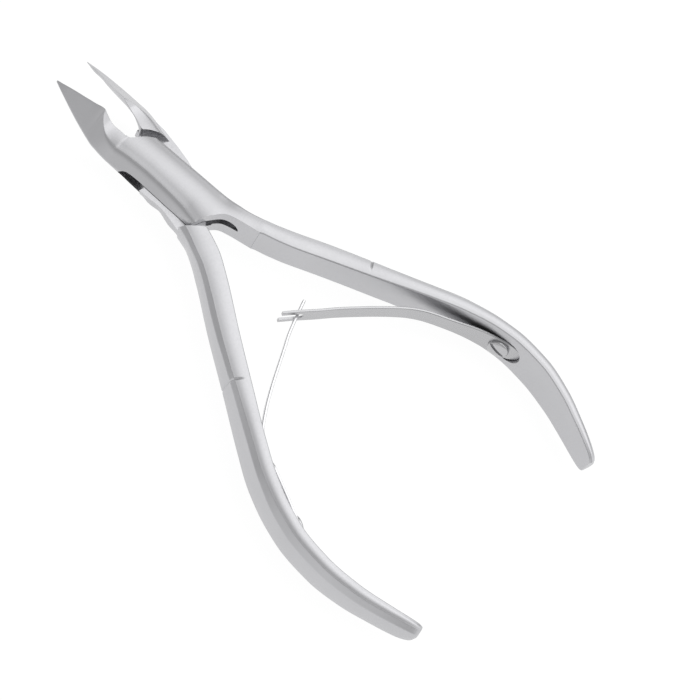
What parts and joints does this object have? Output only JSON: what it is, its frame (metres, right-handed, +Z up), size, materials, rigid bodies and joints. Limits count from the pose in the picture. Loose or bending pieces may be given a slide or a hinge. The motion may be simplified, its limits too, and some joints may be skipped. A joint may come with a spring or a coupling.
{
  "type": "cuticle nipper",
  "caption": "Hand-held cuticle nipper with a box joint, pointed honed jaws, curved bevelled handles and crossed leaf springs that hold it open.",
  "frame": {"origin": "on the pivot's axis, at the flat underside of the joint", "axes": "+X from the jaws towards the handles along the tool, +Z up along the pivot's axis; +Y is the side of the box half's handle"},
  "size_m": [0.113, 0.0634, 0.0087],
  "materials": {
    "satin_steel": "satin, fine brushing across the tool",
    "pin_steel": "ground",
    "spring_steel": "rolled strip, lightly polished",
    "screw_steel": "turned and polished"
  },
  "bodies": {
    "box_side": {"box_half": "satin_steel", "joint_pin": "pin_steel", "forked_spring": "spring_steel", "forked_spring_screw": "screw_steel"},
    "tenon_side": {"tenon_half": "satin_steel", "tongue_spring": "spring_steel", "tongue_spring_screw": "screw_steel"}
  },
  "joints": [
    {"name": "squeeze", "type": "hinge", "parent": "box_side", "child": "tenon_side", "pos_m": [0, 0, 0.003], "axis": [0, 0, 1], "range_deg": [-3, 14.6], "stiffness_Nm_per_rad": 1.2, "deforming": ["forked_spring", "tongue_spring"]}
  ]
}
